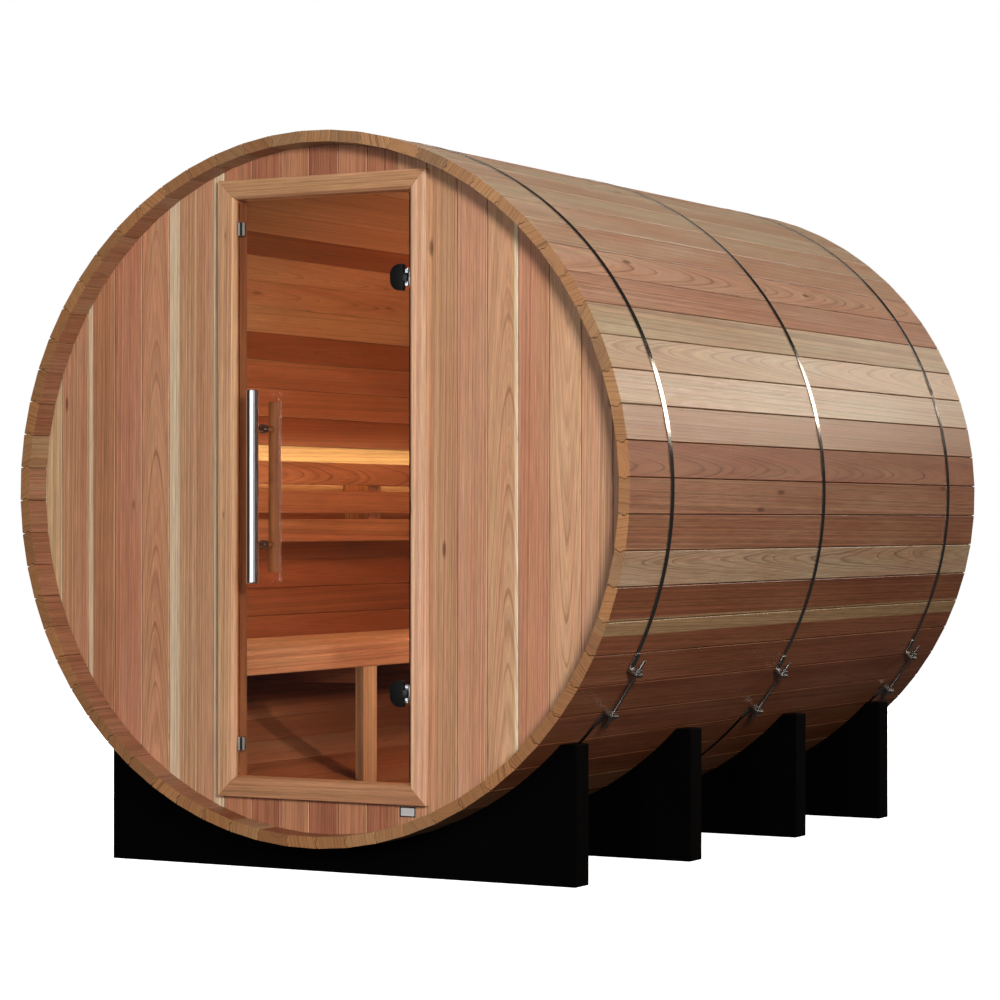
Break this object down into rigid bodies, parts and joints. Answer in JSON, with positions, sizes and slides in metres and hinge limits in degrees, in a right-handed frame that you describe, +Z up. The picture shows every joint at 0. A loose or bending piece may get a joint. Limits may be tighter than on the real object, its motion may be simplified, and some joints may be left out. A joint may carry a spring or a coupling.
{
  "type": "barrel sauna",
  "caption": "Barrel sauna of bead and cove staves on black cradles, with steel bands, a boarded end wall and a hinged glass door in front of a side bench and lit backrest.",
  "frame": {"origin": "on the ground below the middle of the barrel, half way along its length", "axes": "+Z up, +Y along the barrel away from the door, +X toward the side with the door hinges and band tensioners"},
  "size_m": [1.8329, 2.392, 1.905],
  "materials": {
    "stave_wood": "satin",
    "wall_wood": "satin",
    "frame_wood": "satin",
    "bench_wood": "satin",
    "pull_wood": "satin",
    "door_glass": "polished",
    "polished_steel": "polished",
    "black_hinge": "satin",
    "bright_hinge": "satin",
    "black_plastic": "satin",
    "light_diffuser": "satin",
    "black_cradle": "satin",
    "band_steel": "satin",
    "zinc_steel": "satin"
  },
  "bodies": {
    "cabin": {"staves_top": "stave_wood", "staves_upper_right": "stave_wood", "staves_right": "stave_wood", "staves_lower_right": "stave_wood", "staves_bottom": "stave_wood", "staves_lower_left": "stave_wood", "staves_left": "stave_wood", "staves_upper_left": "stave_wood", "front_wall_left": "wall_wood", "front_wall_right": "wall_wood", "front_wall_over_door": "wall_wood", "front_wall_under_door": "wall_wood", "back_wall": "wall_wood", "door_head": "frame_wood", "door_sill": "frame_wood", "door_jamb_left": "frame_wood", "door_jamb_right": "frame_wood", "trim_head": "frame_wood", "trim_sill": "frame_wood", "trim_left": "frame_wood", "trim_right": "frame_wood", "bench_slats": "bench_wood", "bench_fascia": "bench_wood", "bench_legs": "bench_wood", "bench_bearers": "bench_wood", "backrest_slats": "bench_wood", "backrest_uprights": "bench_wood", "hinge_brackets": "bright_hinge", "catch_magnets": "black_plastic", "light_strip": "light_diffuser", "cradle_front": "black_cradle", "cradle_second": "black_cradle", "cradle_third": "black_cradle", "cradle_rear": "black_cradle", "band_front": "band_steel", "band_middle": "band_steel", "band_rear": "band_steel", "tension_lugs": "zinc_steel", "tension_rods": "zinc_steel"},
    "door": {"door_glass": "door_glass", "hinge_clamps": "black_hinge", "catch_clips": "polished_steel", "pull_posts": "polished_steel", "pull_outside": "polished_steel", "pull_inside": "pull_wood"}
  },
  "joints": [
    {"name": "door_hinge", "type": "hinge", "parent": "cabin", "child": "door", "pos_m": [0.248, -1.122, 0.9885], "axis": [0, 0, 1], "range_deg": [0, 95]}
  ]
}
